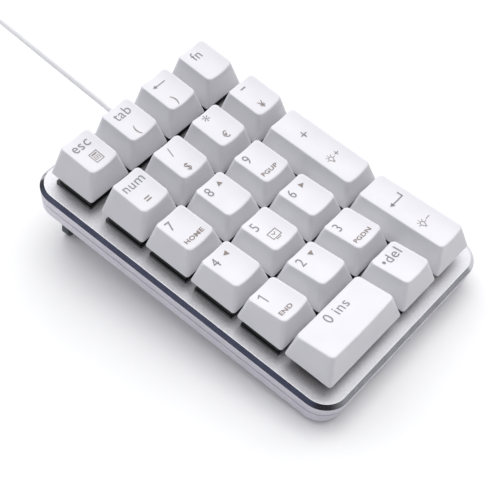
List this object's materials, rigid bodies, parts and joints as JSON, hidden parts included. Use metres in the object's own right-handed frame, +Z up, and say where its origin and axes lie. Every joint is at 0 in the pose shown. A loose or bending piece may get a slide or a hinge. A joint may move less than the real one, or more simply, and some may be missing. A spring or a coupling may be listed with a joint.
{
  "type": "numeric keypad",
  "caption": "Wired numeric keypad with sculpted floating keys on a chamfered aluminium top, fold-out rear feet and a fixed USB lead.",
  "frame": {"origin": "centre of the keypad's footprint, without the lead, on the surface it stands on, rear feet open", "axes": "+X to the right of the keys, +Y from the front row to the back row where the lead leaves, +Z up"},
  "size_m": [0.0928, 0.3178, 0.0445],
  "materials": {
    "keycap": "fine matte moulded plastic",
    "switch_stem": "smooth moulded plastic",
    "steel": "drawn wire and plated screws",
    "top_cover": "fine brushed, anodised, with a polished chamfer",
    "bottom_case": "anodised satin",
    "circuit_board": "solder mask",
    "rubber": "matt",
    "tilt_foot": "moulded, satin",
    "switch_housing": "moulded, satin",
    "lead": "soft jacket",
    "plug": "overmoulded"
  },
  "bodies": {
    "root": {"bottom_case": "bottom_case", "cable_coil": "lead", "case_screws": "steel", "circuit_board": "circuit_board", "front_feet": "rubber", "stabiliser_housings": "switch_housing", "strain_relief": "lead", "switch_bases": "switch_housing", "switch_covers": "switch_housing", "switch_springs": "steel", "top_cover": "top_cover", "usb_cable": "lead", "usb_plug": "plug"},
    "key_esc": {"keycap_esc": "keycap", "stem_esc": "switch_stem"},
    "key_tab": {"keycap_tab": "keycap", "stem_tab": "switch_stem"},
    "key_backspace": {"keycap_backspace": "keycap", "stem_backspace": "switch_stem"},
    "key_fn": {"keycap_fn": "keycap", "stem_fn": "switch_stem"},
    "key_num": {"keycap_num": "keycap", "stem_num": "switch_stem"},
    "key_divide": {"keycap_divide": "keycap", "stem_divide": "switch_stem"},
    "key_multiply": {"keycap_multiply": "keycap", "stem_multiply": "switch_stem"},
    "key_minus": {"keycap_minus": "keycap", "stem_minus": "switch_stem"},
    "key_7": {"keycap_7": "keycap", "stem_7": "switch_stem"},
    "key_8": {"keycap_8": "keycap", "stem_8": "switch_stem"},
    "key_9": {"keycap_9": "keycap", "stem_9": "switch_stem"},
    "key_plus": {"keycap_plus": "keycap", "stem_plus": "switch_stem"},
    "key_4": {"keycap_4": "keycap", "stem_4": "switch_stem"},
    "key_5": {"keycap_5": "keycap", "stem_5": "switch_stem"},
    "key_6": {"keycap_6": "keycap", "stem_6": "switch_stem"},
    "key_1": {"keycap_1": "keycap", "stem_1": "switch_stem"},
    "key_2": {"keycap_2": "keycap", "stem_2": "switch_stem"},
    "key_3": {"keycap_3": "keycap", "stem_3": "switch_stem"},
    "key_enter": {"keycap_enter": "keycap", "stem_enter": "switch_stem"},
    "key_0": {"keycap_0": "keycap", "stem_0": "switch_stem"},
    "key_decimal": {"keycap_decimal": "keycap", "stem_decimal": "switch_stem"},
    "wire_plus": {"wire_plus": "steel"},
    "wire_enter": {"wire_enter": "steel"},
    "wire_0": {"wire_0": "steel"},
    "tilt_foot_left": {"tilt_foot_left": "tilt_foot"},
    "tilt_foot_right": {"tilt_foot_right": "tilt_foot"}
  },
  "joints": [
    {"name": "press_esc", "type": "slide", "parent": "root", "child": "key_esc", "axis": [0, 0.1392, -0.9903], "range_m": [0, 0.004], "stiffness_N_per_m": 75, "springref_m": -0.004, "deforming": ["switch_springs"]},
    {"name": "press_tab", "type": "slide", "parent": "root", "child": "key_tab", "axis": [0, 0.1392, -0.9903], "range_m": [0, 0.004], "stiffness_N_per_m": 75, "springref_m": -0.004, "deforming": ["switch_springs"]},
    {"name": "press_backspace", "type": "slide", "parent": "root", "child": "key_backspace", "axis": [0, 0.1392, -0.9903], "range_m": [0, 0.004], "stiffness_N_per_m": 75, "springref_m": -0.004, "deforming": ["switch_springs"]},
    {"name": "press_fn", "type": "slide", "parent": "root", "child": "key_fn", "axis": [0, 0.1392, -0.9903], "range_m": [0, 0.004], "stiffness_N_per_m": 75, "springref_m": -0.004, "deforming": ["switch_springs"]},
    {"name": "press_num", "type": "slide", "parent": "root", "child": "key_num", "axis": [0, 0.1392, -0.9903], "range_m": [0, 0.004], "stiffness_N_per_m": 75, "springref_m": -0.004, "deforming": ["switch_springs"]},
    {"name": "press_divide", "type": "slide", "parent": "root", "child": "key_divide", "axis": [0, 0.1392, -0.9903], "range_m": [0, 0.004], "stiffness_N_per_m": 75, "springref_m": -0.004, "deforming": ["switch_springs"]},
    {"name": "press_multiply", "type": "slide", "parent": "root", "child": "key_multiply", "axis": [0, 0.1392, -0.9903], "range_m": [0, 0.004], "stiffness_N_per_m": 75, "springref_m": -0.004, "deforming": ["switch_springs"]},
    {"name": "press_minus", "type": "slide", "parent": "root", "child": "key_minus", "axis": [0, 0.1392, -0.9903], "range_m": [0, 0.004], "stiffness_N_per_m": 75, "springref_m": -0.004, "deforming": ["switch_springs"]},
    {"name": "press_7", "type": "slide", "parent": "root", "child": "key_7", "axis": [0, 0.1392, -0.9903], "range_m": [0, 0.004], "stiffness_N_per_m": 75, "springref_m": -0.004, "deforming": ["switch_springs"]},
    {"name": "press_8", "type": "slide", "parent": "root", "child": "key_8", "axis": [0, 0.1392, -0.9903], "range_m": [0, 0.004], "stiffness_N_per_m": 75, "springref_m": -0.004, "deforming": ["switch_springs"]},
    {"name": "press_9", "type": "slide", "parent": "root", "child": "key_9", "axis": [0, 0.1392, -0.9903], "range_m": [0, 0.004], "stiffness_N_per_m": 75, "springref_m": -0.004, "deforming": ["switch_springs"]},
    {"name": "press_plus", "type": "slide", "parent": "root", "child": "key_plus", "axis": [0, 0.1392, -0.9903], "range_m": [0, 0.004], "stiffness_N_per_m": 75, "springref_m": -0.004, "deforming": ["switch_springs"]},
    {"name": "press_4", "type": "slide", "parent": "root", "child": "key_4", "axis": [0, 0.1392, -0.9903], "range_m": [0, 0.004], "stiffness_N_per_m": 75, "springref_m": -0.004, "deforming": ["switch_springs"]},
    {"name": "press_5", "type": "slide", "parent": "root", "child": "key_5", "axis": [0, 0.1392, -0.9903], "range_m": [0, 0.004], "stiffness_N_per_m": 75, "springref_m": -0.004, "deforming": ["switch_springs"]},
    {"name": "press_6", "type": "slide", "parent": "root", "child": "key_6", "axis": [0, 0.1392, -0.9903], "range_m": [0, 0.004], "stiffness_N_per_m": 75, "springref_m": -0.004, "deforming": ["switch_springs"]},
    {"name": "press_1", "type": "slide", "parent": "root", "child": "key_1", "axis": [0, 0.1392, -0.9903], "range_m": [0, 0.004], "stiffness_N_per_m": 75, "springref_m": -0.004, "deforming": ["switch_springs"]},
    {"name": "press_2", "type": "slide", "parent": "root", "child": "key_2", "axis": [0, 0.1392, -0.9903], "range_m": [0, 0.004], "stiffness_N_per_m": 75, "springref_m": -0.004, "deforming": ["switch_springs"]},
    {"name": "press_3", "type": "slide", "parent": "root", "child": "key_3", "axis": [0, 0.1392, -0.9903], "range_m": [0, 0.004], "stiffness_N_per_m": 75, "springref_m": -0.004, "deforming": ["switch_springs"]},
    {"name": "press_enter", "type": "slide", "parent": "root", "child": "key_enter", "axis": [0, 0.1392, -0.9903], "range_m": [0, 0.004], "stiffness_N_per_m": 75, "springref_m": -0.004, "deforming": ["switch_springs"]},
    {"name": "press_0", "type": "slide", "parent": "root", "child": "key_0", "axis": [0, 0.1392, -0.9903], "range_m": [0, 0.004], "stiffness_N_per_m": 75, "springref_m": -0.004, "deforming": ["switch_springs"]},
    {"name": "press_decimal", "type": "slide", "parent": "root", "child": "key_decimal", "axis": [0, 0.1392, -0.9903], "range_m": [0, 0.004], "stiffness_N_per_m": 75, "springref_m": -0.004, "deforming": ["switch_springs"]},
    {"name": "wire_turn_plus", "type": "hinge", "parent": "root", "child": "wire_plus", "pos_m": [0.02038, -0.00122, 0.01658], "axis": [0, 0.9903, 0.1392], "range_deg": [0, 31.85]},
    {"name": "wire_turn_enter", "type": "hinge", "parent": "root", "child": "wire_enter", "pos_m": [0.02038, -0.03895, 0.01128], "axis": [0, 0.9903, 0.1392], "range_deg": [0, 31.85]},
    {"name": "wire_turn_0", "type": "hinge", "parent": "root", "child": "wire_0", "pos_m": [-0.01905, -0.04026, 0.0111], "axis": [1, 0, 0], "range_deg": [0, 31.85]},
    {"name": "fold_foot_left", "type": "hinge", "parent": "root", "child": "tilt_foot_left", "pos_m": [-0.0298, 0.05387, 0.01726], "axis": [-1, 0, 0], "range_deg": [0, 90]},
    {"name": "fold_foot_right", "type": "hinge", "parent": "root", "child": "tilt_foot_right", "pos_m": [0.0298, 0.05387, 0.01726], "axis": [-1, 0, 0], "range_deg": [0, 90]}
  ],
  "couplings": [
    {"joint": "wire_turn_plus", "follows": "press_plus", "rad_per_m": 138.76},
    {"joint": "wire_turn_enter", "follows": "press_enter", "rad_per_m": 138.76},
    {"joint": "wire_turn_0", "follows": "press_0", "rad_per_m": 138.76}
  ]
}
